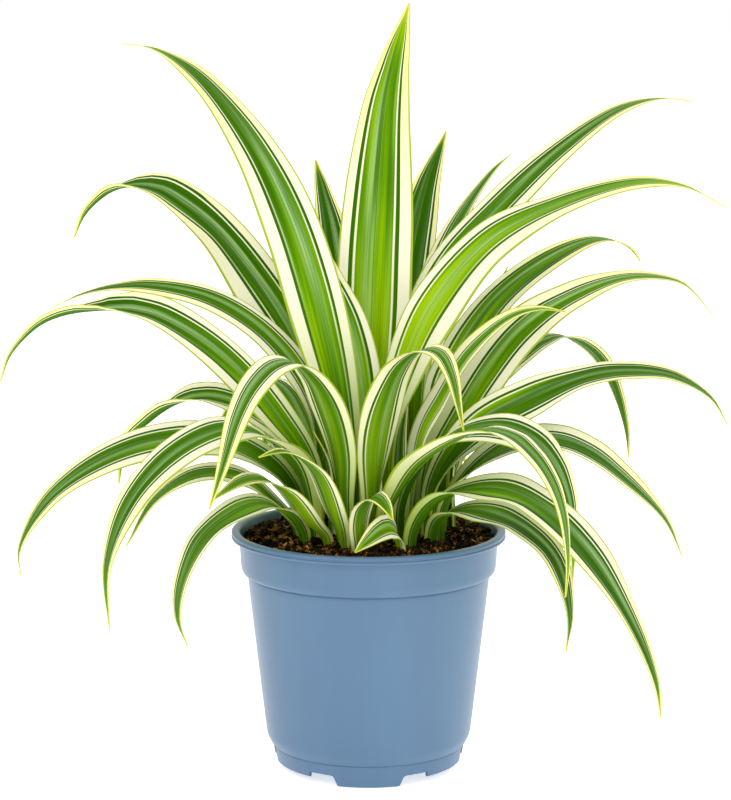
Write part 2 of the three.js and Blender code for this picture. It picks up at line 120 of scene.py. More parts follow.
def apply_modifier(piece, kind, **settings):
    """Gives a piece a modifier, applies it, and leaves that piece alone selected."""
    modifier = piece.modifiers.new(kind.title(), kind)
    for setting, value in settings.items():
        setattr(modifier, setting, value)
    bpy.ops.object.select_all(action="DESELECT")
    bpy.context.view_layer.objects.active = piece
    piece.select_set(True)
    bpy.ops.object.modifier_apply(modifier=modifier.name)


def cut_away(piece, cutter):
    """Takes the cutter's shape out of a piece, and the cutter out of the scene."""
    apply_modifier(piece, "BOOLEAN", operation="DIFFERENCE", solver="EXACT", object=cutter)
    bpy.data.objects.remove(cutter)


def on_circle(radius, degrees, height):
    angle = math.radians(degrees)
    return Vector((radius * math.cos(angle), radius * math.sin(angle), height)) * MM


def ring_cutter(outline):
    """A block right through the foot ring, whose outline is given as directions and heights."""
    bpy.ops.object.select_all(action="DESELECT")
    bpy.ops.mesh.primitive_circle_add(vertices=len(outline), radius=1, fill_type="NGON")
    block = bpy.context.object
    bpy.ops.object.mode_set(mode="EDIT")
    bpy.ops.mesh.select_all(action="SELECT")
    bpy.ops.mesh.extrude_region_move(TRANSFORM_OT_translate={"value": (0, 0, 1)})
    bpy.ops.object.mode_set(mode="OBJECT")
    for number, corner in enumerate(block.data.vertices):
        degrees, height = outline[number % len(outline)]
        reach = CUT_OUTSIDE if corner.co.z > 0.5 else -CUT_INSIDE
        corner.co = on_circle(FOOT_BOTTOM_RADIUS + reach, degrees, height)
    bpy.ops.object.mode_set(mode="EDIT")
    bpy.ops.mesh.select_all(action="SELECT")
    bpy.ops.mesh.normals_make_consistent(inside=False)
    bpy.ops.object.mode_set(mode="OBJECT")
    return block


def away_from_feet(place):
    direction = math.degrees(math.atan2(place.y, place.x))
    return all(abs((direction - foot + 180) % 360 - 180) > SKIRT_STARTS for foot in FEET)


pot = drawn_wall("nursery_pot", POT_WALL, POT_SIDES)
for vertex in pot.data.vertices:
    if vertex.co.z < BOTTOM_EDGE_HEIGHT * MM and away_from_feet(vertex.co):
        vertex.co.z += SKIRT_HEIGHT * MM
for corner, far_end in FOOT_NOTCHES:
    way = math.copysign(1, far_end - corner)
    side = [(corner + way * degrees, height) for degrees, height in FOOT_SIDE]
    cut_away(pot, ring_cutter([*side, (far_end, NOTCH_HEIGHT), (far_end, -1)]))
for start, end in SIDE_SLOTS:
    cut_away(pot, ring_cutter([(start, -1), (start, SLOT_HEIGHT), (end, SLOT_HEIGHT), (end, -1)]))
for hole in range(DRAIN_HOLES):
    direction = (hole + 0.5) * 360 / DRAIN_HOLES
    bpy.ops.object.select_all(action="DESELECT")
    bpy.ops.mesh.primitive_cylinder_add(
        vertices=32, radius=DRAIN_HOLE_RADIUS * MM, depth=6 * MM,
        location=on_circle(DRAIN_RING_RADIUS, direction, (FLOOR_UNDERSIDE + FLOOR_TOP) / 2))
    cut_away(pot, bpy.context.object)
apply_modifier(pot, "BEVEL", width=0.2 * MM, segments=2, limit_method="ANGLE", angle_limit=math.radians(58),
               use_clamp_overlap=True)
bpy.ops.object.shade_smooth_by_angle(angle=math.radians(35))


def paint(code):
    """A colour as a paint chart gives it, such as 86b400, in the linear values that shaders take."""
    channels = [int(code[i:i + 2], 16) / 255 for i in (0, 2, 4)]
    return (*[c / 12.92 if c <= 0.04045 else ((c + 0.055) / 1.055) ** 2.4 for c in channels], 1)


class Wire:
    """An output socket in a finish; sums on it add Math nodes."""

    def __init__(self, socket):
        self.socket = socket

    @staticmethod
    def node(tree, kind, settings=None, inputs=None, output=0):
        """Adds a node, sets it up, and fills its sockets with values or wires."""
        made = tree.nodes.new("ShaderNode" + kind)
        for setting, value in (settings or {}).items():
            if setting == "stops":
                while len(made.color_ramp.elements) < len(value):
                    made.color_ramp.elements.new(0.5)
                for element, (place, colour) in zip(made.color_ramp.elements, value):
                    element.position = place
                    element.color = colour
            else:
                setattr(made, setting, value)
        for name, value in (inputs or {}).items():
            if isinstance(value, Wire):
                tree.links.new(value.socket, made.inputs[name])
            else:
                made.inputs[name].default_value = value
        return Wire(made.outputs[output])

    def sum(self, operation, first, second):
        return Wire.node(self.socket.id_data, "Math", {"operation": operation}, {0: first, 1: second})

    def __add__(self, other):
        return self.sum("ADD", self, other)

    def __radd__(self, other):
        return self.sum("ADD", other, self)

    def __sub__(self, other):
        return self.sum("SUBTRACT", self, other)

    def __rsub__(self, other):
        return self.sum("SUBTRACT", other, self)

    def __mul__(self, other):
        return self.sum("MULTIPLY", self, other)

    def __rmul__(self, other):
        return self.sum("MULTIPLY", other, self)

    def low(self, other):
        return self.sum("MINIMUM", self, other)

    def step(self, start, end):
        """0 up to start, 1 from end on, and smooth between them."""
        return Wire.node(self.socket.id_data, "MapRange", {"interpolation_type": "SMOOTHSTEP"},
                         {"Value": self, "From Min": start, "From Max": end})

    def band(self, start, end, soft):
        """1 between start and end, 0 outside them, with soft edges."""
        return self.step(start - soft, start + soft) * (1 - self.step(end - soft, end + soft))


def blend(tree, share, first, second):
    """Two colours mixed, by the second one's share."""
    return Wire.node(tree, "Mix", {"data_type": "RGBA"}, {0: share, 6: first, 7: second}, output=2)


def new_finish(name):
    """An empty material, its node tree and its shader."""
    finish = bpy.data.materials.new(name)
    finish.use_nodes = True
    shader = finish.node_tree.nodes["Principled BSDF"]
    return finish, finish.node_tree, shader


def grain(tree, place, scale, detail=4, roughness=0.55):
    """Soft noise, about 0.5 in the middle."""
    return Wire.node(tree, "TexNoise", {"noise_dimensions": "3D"},
                     {"Vector": place, "Scale": scale, "Detail": detail, "Roughness": roughness})


def relief(tree, shader, height, distance, strength=1.0):
    """Fine relief: height, 0 to 1, stands distance millimetres proud."""
    bump = Wire.node(tree, "Bump", inputs={
        "Height": height, "Distance": distance * MM, "Strength": strength})
    tree.links.new(bump.socket, shader.inputs["Normal"])


def surface(tree, shader, colour, roughness):
    """Joins a colour and a roughness to the shader."""
    tree.links.new(colour.socket, shader.inputs["Base Color"])
    tree.links.new(roughness.socket, shader.inputs["Roughness"])


STAIN_BOTTOM = 89.5
STAIN_TOP = 99.5
STAIN_RAGGED = 6
STAIN_RADIUS = 56.2
DUST_FULL_BELOW = 12
DUST_GONE_ABOVE = 30

pot_plastic, tree, shader = new_finish("dusty_blue_plastic")
place = Wire.node(tree, "TexCoord", output=3)
x, y, height = (Wire.node(tree, "SeparateXYZ", inputs={0: place}, output=axis) for axis in range(3))
level = Wire.node(tree, "CombineXYZ", inputs={0: x, 1: y, 2: 0.0})
radius = Wire.node(tree, "VectorMath", {"operation": "LENGTH"}, {0: level}, output=1)
upright = Wire.node(tree, "Mapping", inputs={"Vector": place, "Scale": (1, 1, 0.25)})
flow = grain(tree, upright, 30, 3)
speckle = grain(tree, place, 2600, 2)
shade = blend(tree, flow.step(0.3, 0.7), paint("4b6b8a"), paint("517291"))
shade = blend(tree, speckle.step(0.62, 0.8) * 0.18, shade, paint("7a97b2"))
# a stain on the wall inside, from under the compost's edge up to a ragged line just over it
stain_line = STAIN_TOP * MM + STAIN_RAGGED * MM * grain(tree, place, 90, 4)
stain = (height - stain_line).step(0, -3.5 * MM) * radius.step(STAIN_RADIUS * MM, (STAIN_RADIUS - 1.7) * MM)
stain = stain * height.step(STAIN_BOTTOM * MM, (STAIN_BOTTOM + 1) * MM)
shade = blend(tree, stain * 0.5, shade, paint("2c2118"))
# dust low down on the wall
low_down = 1 - height.step(DUST_FULL_BELOW * MM, DUST_GONE_ABOVE * MM)
dust = grain(tree, place, 420, 5, 0.7).step(0.66, 0.74) * low_down * 0.35
shade = blend(tree, dust, shade, paint("4b4a47"))
surface(tree, shader, shade, 0.4 + flow * 0.08 + speckle * 0.06 + stain * 0.3)
shader.inputs["Specular IOR Level"].default_value = 0.35
shader.inputs["Coat Weight"].default_value = 0.3
shader.inputs["Coat Roughness"].default_value = 0.2
relief(tree, shader, speckle * 0.7 + flow * 0.3, 0.05, 0.5)

pot.data.materials.append(pot_plastic)
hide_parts("pot")
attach(pot, "root")


# ---- the soil ----
# Peat and bark compost, dark and fibrous, filled to just under the lip and a little crowned in the middle.
# The bed is one closed block with a lumpy top; crumbs, bark chips and fibres lie loose on it.

SOIL_EDGE = 101
SOIL_CROWN = 102.5
SOIL_RADIUS = 54.9
BED_SIDE_HEIGHT = 99.8
BED_TOP_AS_DRAWN = 100.6
SOIL_SIDES = 176
SOIL_RINGS = 46
CRUMBS = 3000
CLODS = 300
BARK_CHIPS = 90
FIBRES = 420
# a loose piece keeps its own reach away from the wall, up to WALL_REACH, less a little play
WALL_REACH = 4
WALL_PLAY = 0.3

draw = random.Random(12)


def soil_height(x, y):
    """The height of the bed over a place, both in millimetres."""
    share = math.hypot(x, y) / SOIL_RADIUS
    swells = math.sin(x * 0.31 + 1.7 * math.sin(y * 0.23)) + math.sin(y * 0.37 + 1.3 * math.sin(x * 0.19))
    lumps = 1.7 * noise.noise(Vector((x, y, 3)) / 5.5) + 1.0 * noise.noise(Vector((x, y, 8)) / 2.4)
    crown = SOIL_CROWN + (SOIL_EDGE - SOIL_CROWN) * share ** 2
    return crown + 0.9 * swells / 2 + lumps * (1 - 0.6 * share ** 6)


sides_of_bed = [
    (38.6, FLOOR_TOP + 0.3), (42.6, 16), (50.4, 83), (51, 85.6), (53, 88.3), (54, 97),
    (SOIL_RADIUS, BED_SIDE_HEIGHT),
]
top_of_bed = [(SOIL_RADIUS * (1 - ring / SOIL_RINGS), BED_TOP_AS_DRAWN) for ring in range(SOIL_RINGS)]
soil = drawn_wall("soil_bed", sides_of_bed + top_of_bed, SOIL_SIDES)
for vertex in soil.data.vertices:
    if vertex.co.z > (BED_SIDE_HEIGHT + BED_TOP_AS_DRAWN) / 2 * MM:
        vertex.co.z = soil_height(vertex.co.x / MM, vertex.co.y / MM) * MM
bpy.ops.object.shade_smooth_by_angle(angle=math.radians(50))


def crumb_of(size, detail, squash):
    """One rough little lump, to be copied: a ball of few faces, flattened and knocked out of round."""
    bpy.ops.object.select_all(action="DESELECT")
    bpy.ops.mesh.primitive_ico_sphere_add(subdivisions=detail, radius=size * MM)
    lump = bpy.context.object
    for vertex in lump.data.vertices:
        vertex.co *= 1 + 0.7 * noise.noise(vertex.co / (size * MM) * 1.3)
        vertex.co.z *= squash
    return lump


def chip_of(length, width, thick):
    """One splinter of bark, to be copied: a block tapered and made ragged."""
    bpy.ops.object.select_all(action="DESELECT")
    bpy.ops.mesh.primitive_cube_add(size=1)
    chip = bpy.context.object
    bpy.ops.object.mode_set(mode="EDIT")
    bpy.ops.mesh.select_all(action="SELECT")
    bpy.ops.mesh.subdivide(number_cuts=1)
    bpy.ops.object.mode_set(mode="OBJECT")
    for vertex in chip.data.vertices:
        along = vertex.co.x
        ragged = 1 + 0.5 * noise.noise(vertex.co * 3.1)
        across = vertex.co.y * width * ragged * (1 - abs(along))
        vertex.co = Vector((along * length, across, vertex.co.z * thick * ragged)) * MM
    return chip


def fibre_of(length, thick):
    """One root or coir fibre, to be copied: a spindle."""
    ends = [(0.2, -0.5), (0.8, -0.34), (1, -0.12), (1, 0.12), (0.8, 0.34), (0.2, 0.5)]
    return drawn_wall("fibre", [(wide * thick / 2, high * length) for wide, high in ends], 5)


def strewn(name, model, count, sizes, lift, lean, bend=0.0):
    """Copies of a small model, scattered over the bed as one piece, each turned and sized by chance."""
    points = [vertex.co.copy() for vertex in model.data.vertices]
    sides = [tuple(face.vertices) for face in model.data.polygons]
    reach = max(point.length for point in points) / MM
    bpy.data.objects.remove(model)
    smallest, largest = sizes
    vertices, faces = [], []
    for _ in range(count):
        size = smallest + (largest - smallest) * draw.random() ** 3
        room = SOIL_RADIUS + WALL_PLAY - min(reach * size, WALL_REACH)
        radius = room * math.sqrt(draw.random())
        around = draw.uniform(0, 2 * math.pi)
        x, y = radius * math.cos(around), radius * math.sin(around)
        pose = Euler((draw.uniform(-lean, lean), draw.uniform(-lean, lean), draw.uniform(0, 2 * math.pi)))
        tilt = pose.to_matrix()
        bow = draw.uniform(-bend, bend)
        centre = Vector((x, y, soil_height(x, y) + lift * size)) * MM
        start = len(vertices)
        for point in points:
            bowed = point * size + Vector((bow * (point.z * size) ** 2 / MM, 0, 0))
            vertices.append(centre + tilt @ bowed)
        faces += [tuple(start + corner for corner in side) for side in sides]
    mesh = bpy.data.meshes.new(name)
    mesh.from_pydata(vertices, [], faces)
    piece = bpy.data.objects.new(name, mesh)
    bpy.context.collection.objects.link(piece)
    return piece


crumbs = strewn("soil_crumbs", crumb_of(1, 1, 0.8), CRUMBS, (0.35, 1.5), 0.3, math.pi)
clods = strewn("soil_clods", crumb_of(1, 2, 0.75), CLODS, (1.4, 3.6), 0.2, math.pi)
chips = strewn("bark_chips", chip_of(4.5, 1.7, 0.9), BARK_CHIPS, (0.5, 1.4), 0.7, 0.6)
fibres = strewn("soil_fibres", fibre_of(3.4, 0.36), FIBRES, (0.6, 1.6), 0.5, 1.9, bend=0.2)

compost, tree, shader = new_finish("dark_compost")
place = Wire.node(tree, "TexCoord", output=3)
coarse = grain(tree, place, 210, 5, 0.62)
fine = grain(tree, place, 1000, 4, 0.7)
browns = [
    (0.44, paint("040200")), (0.515, paint("150a02")), (0.565, paint("503009")), (0.63, paint("d09240")),
]
shade = Wire.node(tree, "ValToRGB", {"stops": browns}, {"Fac": coarse * 0.62 + fine * 0.38})
surface(tree, shader, shade, 0.85 + fine * 0.12)
shader.inputs["Specular IOR Level"].default_value = 0.15
relief(tree, shader, coarse * 0.5 + fine * 0.5, 0.7, 0.9)

bark, tree, shader = new_finish("bark_and_fibre")
place = Wire.node(tree, "TexCoord", output=3)
patch = grain(tree, place, 150, 3)
fine = grain(tree, place, 1500, 3)
browns = [
    (0.32, paint("2a1607")), (0.44, paint("6a4315")), (0.54, paint("b07a30")), (0.66, paint("dcb26a")),
]
shade = Wire.node(tree, "ValToRGB", {"stops": browns}, {"Fac": patch * 0.7 + fine * 0.3})
surface(tree, shader, shade, 0.75 + fine * 0.2)
shader.inputs["Specular IOR Level"].default_value = 0.2
relief(tree, shader, fine, 0.2, 0.7)

for piece, finish in ((soil, compost), (crumbs, compost), (clods, compost), (chips, bark), (fibres, bark)):
    piece.data.materials.append(finish)
    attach(piece, "root")
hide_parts("soil")


# ---- the leaves ----
# Long channelled blades that leave the crown under the soil, rise and bow over: satin green in the middle
# with fine veins, and cream along both edges. Each is a flat grid bent along its own midrib and given
# its thickness, thinner towards the edges and the tip.

ROOT_HEIGHT = 90
LEAF_THICKNESS = 0.7
BASE_THICKNESS = 1.3
EDGE_THICKNESS_SHARE = 0.35
TIP_THICKNESS_SHARE = 0.6
BASE_WIDTH_SHARE = 0.3
BASE_WIDTH_LEAST = 5
TIP_WIDTH = 0.9
WIDEST_AT = 0.45
TAPER = 1.55
TIP_ROUNDING = 0.95
BASE_FOLD = 42
BLADE_FOLD = 5
FOLD_RUN = 0.2
EDGE_WAVE = 0.35
EDGE_WAVE_RUN = 11
BLADE_ACROSS = 14
BLADE_STEP = 3.5

# root: where the blade leaves the crown, as x and y. heading: the way that its upright plane goes, in
# degrees from the right round by the back. width: at its widest. taper: above TAPER the blade stays full
# for longer. fold: degrees by which the halves of a blade that rolls over are folded, in its outer half.
# light: 0 for a dark blade and 1 for a lime one. margins: the shares of the width that are cream, at the
# edge that lies clockwise of the heading and at the other. inner_margins: the share of the margins that is
# left near the root. route: the midrib, as distance from the root, height, and turn of the blade about the
# midrib in degrees.
LEAVES = {
    # tall leaves that stand over the middle
    "tall_centre": dict(
        root=(1, 28), heading=66, width=34, taper=2.2, light=0.72, margins=(0.19, 0.14),
        route=[(-2, 115, 20), (0, 159, 18), (3.5, 203, 14), (6, 229, 14), (16, 285, 4), (26, 307, -6),
               (42, 331.5, -15)]),
    "tall_left": dict(
        root=(-6, -6), heading=146, width=28, taper=1.8, light=0.5, margins=(0.17, 0.26),
        route=[(1, 118, -28), (5, 146, -28), (13.5, 180, -30), (33, 235.5, -31), (53.5, 270, -22),
               (83, 299.5, -13), (107, 311.5, 0), (126, 314, 8)]),
    "tall_left_behind": dict(
        root=(-3, 6), heading=129, width=24, light=0.5, margins=(0.15, 0.16),
        route=[(-1, 129, -20), (2, 160, -18), (11, 192, -8), (28, 216, 2), (48, 236, 12),
               (63, 253, 18), (74, 263, 20)]),
    "spike_back_left": dict(
        root=(-8, 30), heading=105, width=21, taper=2.3, light=0.2, margins=(0.12, 0.1),
        route=[(1, 150, -10), (10, 188, -6), (24, 215, 0), (36, 233, 6), (49, 246, 10),
               (64, 260, 14)]),
    "spike_back_right": dict(
        root=(5, 33), heading=66, width=24, taper=2.2, light=0.2, margins=(0.12, 0.1),
        route=[(7, 150, 14), (27, 198, 12), (43.5, 232.5, 6), (54.5, 250.5, 0), (76.5, 272.5, -14)]),
    "spike_far_right": dict(
        root=(19, 32), heading=54, width=18, light=0.35, margins=(0.15, 0.15),
        route=[(0.5, 150, 10), (5, 189, 8), (19.5, 212.5, 0), (36, 234, -6), (65, 255.5, -15),
               (81, 262.5, -20)]),
    # high arches
    "high_right": dict(
        root=(20, 27), heading=32, width=24, taper=1.9, light=0.5, margins=(0.25, 0.13),
        route=[(1, 155, 14), (6, 195, 14), (21, 219.5, 15), (48, 243, 15), (78, 265, 13),
               (112.5, 283.5, 7), (137.5, 288, 3), (156, 286, 0)]),
    "broad_right": dict(
        root=(8, -2), heading=12, width=28, taper=1.8, light=0.85, margins=(0.32, 0.13),
        route=[(1, 148, 24), (8.5, 175.5, 31), (21.5, 202, 39), (46, 230, 29), (78, 246, 19),
               (112, 254.5, 16), (134, 252.5, 10), (153, 243, 5)]),
    "high_left": dict(
        root=(-14, 16), heading=158, width=28, taper=1.7, fold=24, light=0.3, margins=(0.13, 0.33),
        route=[(5, 151, -14), (15, 174.5, -22), (37, 207, -38), (59, 233, -38), (82, 249, -34),
               (90.5, 251.5, -28), (98, 252, -18), (105.5, 251, -5), (113, 247.5, 3), (124, 237.5, 6),
               (129.5, 226.5, 2)]),
    "slim_left": dict(
        root=(-22, 6.5), heading=168, width=19, light=0.45, margins=(0.12, 0.26),
        route=[(1, 156, -22), (19, 185, -24), (46, 203, -31), (76, 209, -28), (94, 208, -18),
               (108, 204.5, -12), (122, 198, 0)]),
    "broad_left": dict(
        root=(-23, -6), heading=180, width=25, fold=24, light=0.38, margins=(0.13, 0.27),
        route=[(1, 131, -28), (17, 156, -34), (41, 182.5, -33), (65, 199, -32), (77, 203, -27),
               (86.5, 204, -16), (95, 203.5, -3), (103, 202.5, 5), (110.5, 200.5, 8), (118, 197, 8),
               (125, 191, 8), (132, 182, 6), (136, 170.5, 0)]),
    "mid_right_back": dict(
        root=(32, 13), heading=29, width=23, taper=2.1, light=0.55, margins=(0.18, 0.14),
        route=[(1, 160, 30), (9, 178, 19), (27, 201, 14), (52, 217.5, 14), (77, 226.5, 12),
               (90, 226, 8), (100, 221.5, 4), (105, 215.5, 5)]),
    "mid_right": dict(
        root=(23, -4), heading=4, width=26, light=0.55, margins=(0.24, 0.24),
        route=[(3, 131, 38), (15, 153, 38), (42, 191.5, 40), (65.5, 207.5, 26), (90, 215.5, 16),
               (112, 213, 8), (120, 206.5, 6), (126, 199, 5)]),
    "short_right": dict(
        root=(16, -2.5), heading=345, width=20, light=0.75, margins=(0.18, 0.3),
        route=[(6, 146, 32), (15, 164, 36), (27, 184, 36), (45, 200, 28), (58, 204, 18),
               (70, 203, 8)]),
    "dark_right_back": dict(
        root=(28, 25), heading=42, width=14, light=0.2, margins=(0.12, 0.12),
        route=[(3, 140, 0), (10, 168, -4), (31, 192, -8), (47, 214, -15)]),
    # low leaves that bow over on the left
    "small_left_back": dict(
        root=(-28, 13), heading=160, width=19, fold=34, light=0.5, margins=(0.13, 0.25),
        route=[(3, 135, -12), (22, 152, -16), (44, 159.5, -26), (55, 159, -24), (62, 157, -10),
               (68, 153.5, 6), (75.5, 147.5, 16), (87, 136.5, 12), (91, 116.5, 0)]),
    "low_left": dict(
        root=(-28, 3), heading=194, width=28, light=0.45, margins=(0.12, 0.27),
        route=[(0, 111.5, -24), (12, 131, -30), (36, 144.5, -24), (63, 145.5, -22), (89, 138, -22),
               (112, 122.5, -16), (125, 101, -4), (124.5, 89, 0)]),
    "droop_left": dict(
        root=(-23, -15), heading=214, width=27, light=0.42, margins=(0.12, 0.3),
        route=[(0, 112, 0), (9, 139, 4), (31, 154, -8), (47, 155, -14), (69.5, 147, -12),
               (89.5, 130, -5), (101.5, 104.5, 6), (101, 77, 8)]),
    "small_left": dict(
        root=(-30, -4), heading=200, width=18, light=0.5, margins=(0.15, 0.24),
        route=[(1, 106, -20), (9, 116, -22), (25.5, 130, -20), (46, 133, -14), (65, 123, -6),
               (78, 103.5, 0)]),
    "rim_left": dict(
        root=(-28, -16), heading=224, width=20, light=0.45, margins=(0.12, 0.14),
        route=[(0, 106, 0), (6.5, 115, 0), (19, 122, -12), (30.5, 123, -10), (56.5, 113.5, 3),
               (69, 95.5, 14), (71, 81, 16), (66, 68, 16)]),
    "hooked_left": dict(
        root=(-8, -18), heading=222, width=21, inner_margins=0.55, light=0.45, margins=(0.22, 0.3),
        route=[(3, 119.5, 0), (5.5, 143, 6), (12.5, 163, 8), (20, 175.5, 2), (30.5, 184, -6),
               (42, 183.5, -14), (53, 176, -17), (61, 165, -15), (71, 141, -6), (77, 127.5, 0)]),
    "short_front_left": dict(
        root=(-18, -21), heading=220, width=17, light=0.85, margins=(0.12, 0.14),
        route=[(0, 105, 0), (8, 113, 4), (21, 128, 0), (33, 135, -12), (44, 136, -12), (62, 129, 4)]),
    "short_front": dict(
        root=(-11, -27), heading=226, width=17, light=0.6, margins=(0.16, 0.16),
        route=[(0, 106, -8), (5, 118, -6), (15, 137, -5), (27, 146, -8), (36, 149, -8), (49, 148, 0)]),
    "curl_front": dict(
        root=(-4, -33), heading=318, width=15, light=0.6, margins=(0.15, 0.15),
        route=[(0, 106, 10), (0, 114, 8), (2, 121, 4), (6, 126, 12), (10, 127, 20), (15, 124, 20),
               (19, 118, 10)]),
    "curl_soil": dict(
        root=(14, -31), heading=215, width=13, light=0.7, margins=(0.17, 0.17),
        route=[(1, 105, -10), (2, 110, -30), (6, 113, -50), (11, 112, -52), (18, 108, -45),
               (24, 104, -30)]),
    # low leaves that bow over on the right
    "small_right_back": dict(
        root=(37, 14), heading=20, width=20, light=0.35, margins=(0.14, 0.14),
        route=[(0, 141, 5), (9.5, 156.5, 6), (20.5, 168.5, 8), (31.5, 177.5, 8), (42.5, 184, 6),
               (52.5, 186, -2), (63, 182, -11), (72, 174, -14), (80, 158.5, -14), (85, 140.5, -8),
               (86, 128.5, 0)]),
    "long_right": dict(
        root=(25, -15), heading=348, width=25, light=0.3, margins=(0.15, 0.11),
        route=[(3, 128, 34), (20, 151.5, 42), (44, 166, 38), (70, 177, 22), (87, 179.5, 18),
               (105, 178, 12), (121, 169, 6), (128, 158, 0)]),
    "low_right": dict(
        root=(31, -12), heading=334, width=25, light=0.3, margins=(0.11, 0.25),
        route=[(0, 113, 14), (4, 124, 18), (14, 135.5, 24), (27.5, 145.5, 24), (40.5, 150, 20),
               (53.5, 151.5, 16), (68.5, 147.5, 12), (83, 138.5, 6), (102.5, 121, -4),
               (110, 106, -8)]),
    "hooked_right": dict(
        root=(0, -16), heading=318, width=20, inner_margins=0.55, light=0.55, margins=(0.24, 0.2),
        route=[(1.5, 118.5, 0), (3.5, 143, -14), (8, 162, -16), (15.5, 178, -10), (24, 186.5, 0),
               (32.5, 189.5, 6), (40.5, 188, 6), (46.5, 179.5, 3), (50, 168, 0), (53, 157, 0)]),
    "front_right_inner": dict(
        root=(14, -16), heading=326, width=25, taper=1.8, light=0.3, margins=(0.16, 0.12),
        route=[(-1, 117, 8), (7, 134.5, 10), (19.5, 147.5, 16), (34.5, 154.5, 18), (50, 156.5, 20),
               (64.5, 153, 16), (75, 144.5, 8), (81.5, 133, 0), (84.5, 119.5, -6), (85, 95, -12)]),
    "front_right": dict(
        root=(6, -23), heading=307, width=21, light=0.45, margins=(0.34, 0.1),
        route=[(1, 115, 0), (9.5, 128.5, 0), (21.5, 141, 0), (43, 153.5, 0), (63, 161, 4),
               (82, 162, -6), (95, 157.5, -14), (107.5, 148.5, -20), (115.5, 136.5, -24),
               (119.5, 117, -26), (118.5, 102, -26)]),
    "droop_right": dict(
        root=(18, -27), heading=314, width=28, light=0.3, margins=(0.18, 0.16),
        route=[(0.5, 108, 10), (8, 120, 6), (22, 130, 8), (48, 135, 16), (73.5, 131.5, 0),
               (100, 116.5, -2), (124, 91, -12), (136, 70, -17), (139, 56, -20)]),
    "rim_right": dict(
        root=(27, -22), heading=304, width=21, light=0.3, margins=(0.14, 0.12),
        route=[(0.5, 107, 8), (6, 115.5, 6), (20, 121.5, 10), (41.5, 123.5, 14), (67, 120.5, -2),
               (86.5, 111, -12), (95.5, 91.5, -24), (93.5, 75.5, -28)]),
}

# Leaves at the back follow one plain bow: root x, root y, heading, width, reach, height of the crest and
# height of the tip. Its shape is in shares of the reach and of the climb, and then of the drop.
BOWS = {
    "back_low_right": (33, 24, 38, 15, 54, 148, 130),
    "back_short_right": (24, 32, 49, 16, 70, 162, 140),
    "back_droop_right": (20, 36, 70, 18, 77, 147, 114),
    "back_mid_right": (12, 38, 72, 20, 93, 172, 112),
    "back_small_right": (5, 43, 82, 15, 72, 138, 66),
    "back_broad": (1, 38, 89, 22, 88, 184, 136),
    "back_small_left": (-7, 42, 97, 16, 72, 140, 64),
    "back_mid_left": (-14, 36, 105, 20, 94, 171, 112),
    "back_droop_left": (-24, 32, 111, 19, 77, 146, 118),
    "back_short_left": (-22, 23, 132, 16, 72, 163, 138),
    "back_low_left": (-30, 21, 145, 15, 64, 148, 124),
}
BOW_SHAPE = ((0.03, 0.3), (0.12, 0.66), (0.34, 0.96), (0.52, 1))
BOW_DROP = ((0.8, 0.42), (1, 1))
# Young leaves in the middle only climb: root x, root y, heading, width, reach and height of the tip.
SHOOTS = {
    "young_middle": (1, -9, 90, 10, 5, 168),
    "young_left": (-16, -9, 200, 10, 8, 150),
    "young_right": (13, 9, 60, 10, 8, 160),
}
SHOOT_SHAPE = ((0.02, 0.35), (0.2, 0.72), (1, 1))

for name, (x, y, heading, width, reach, crest, tip) in BOWS.items():
    rise = [(out * reach, SOIL_EDGE + share * (crest - SOIL_EDGE), 0) for out, share in BOW_SHAPE]
    fall = [(out * reach, crest - share * (crest - tip), 0) for out, share in BOW_DROP]
    LEAVES[name] = dict(
        root=(x, y), heading=heading, width=width, light=0.4, margins=(0.16, 0.18), route=rise + fall)
for name, (x, y, heading, width, reach, height) in SHOOTS.items():
    rise = [(out * reach, SOIL_EDGE + share * (height - SOIL_EDGE), 0) for out, share in SHOOT_SHAPE]
    LEAVES[name] = dict(
        root=(x, y), heading=heading, width=width, light=0.3, margins=(0.14, 0.14), route=rise)


def ease(share):
    """0 up to 0, 1 from 1 on, and smooth between them."""
    share = min(max(share, 0), 1)
    return share * share * (3 - 2 * share)


def between(start, end, share):
    return start + (end - start) * share


def spline_through(places, steps=20):
    """Points on one smooth curve through the places, each with how many places it has passed."""
    padded = [places[0] * 2 - places[1], *places, places[-1] * 2 - places[-2]]
    points = []
    for passed in range(len(places) - 1):
        before, start, end, after = padded[passed:passed + 4]
        spans = (start - before, end - start, after - end)
        came, goes, on = (math.sqrt(span.length) for span in spans)
        leave = ((start - before) / came - (end - before) / (came + goes) + (end - start) / goes) * goes
        arrive = ((end - start) / goes - (after - start) / (goes + on) + (after - end) / on) * goes
        for step in range(steps):
            t = step / steps
            point = start + leave * t + (end * 3 - start * 3 - leave * 2 - arrive) * t ** 2
            points.append((point + (start * 2 - end * 2 + leave + arrive) * t ** 3, passed + t))
    return [*points, (places[-1], len(places) - 1)]


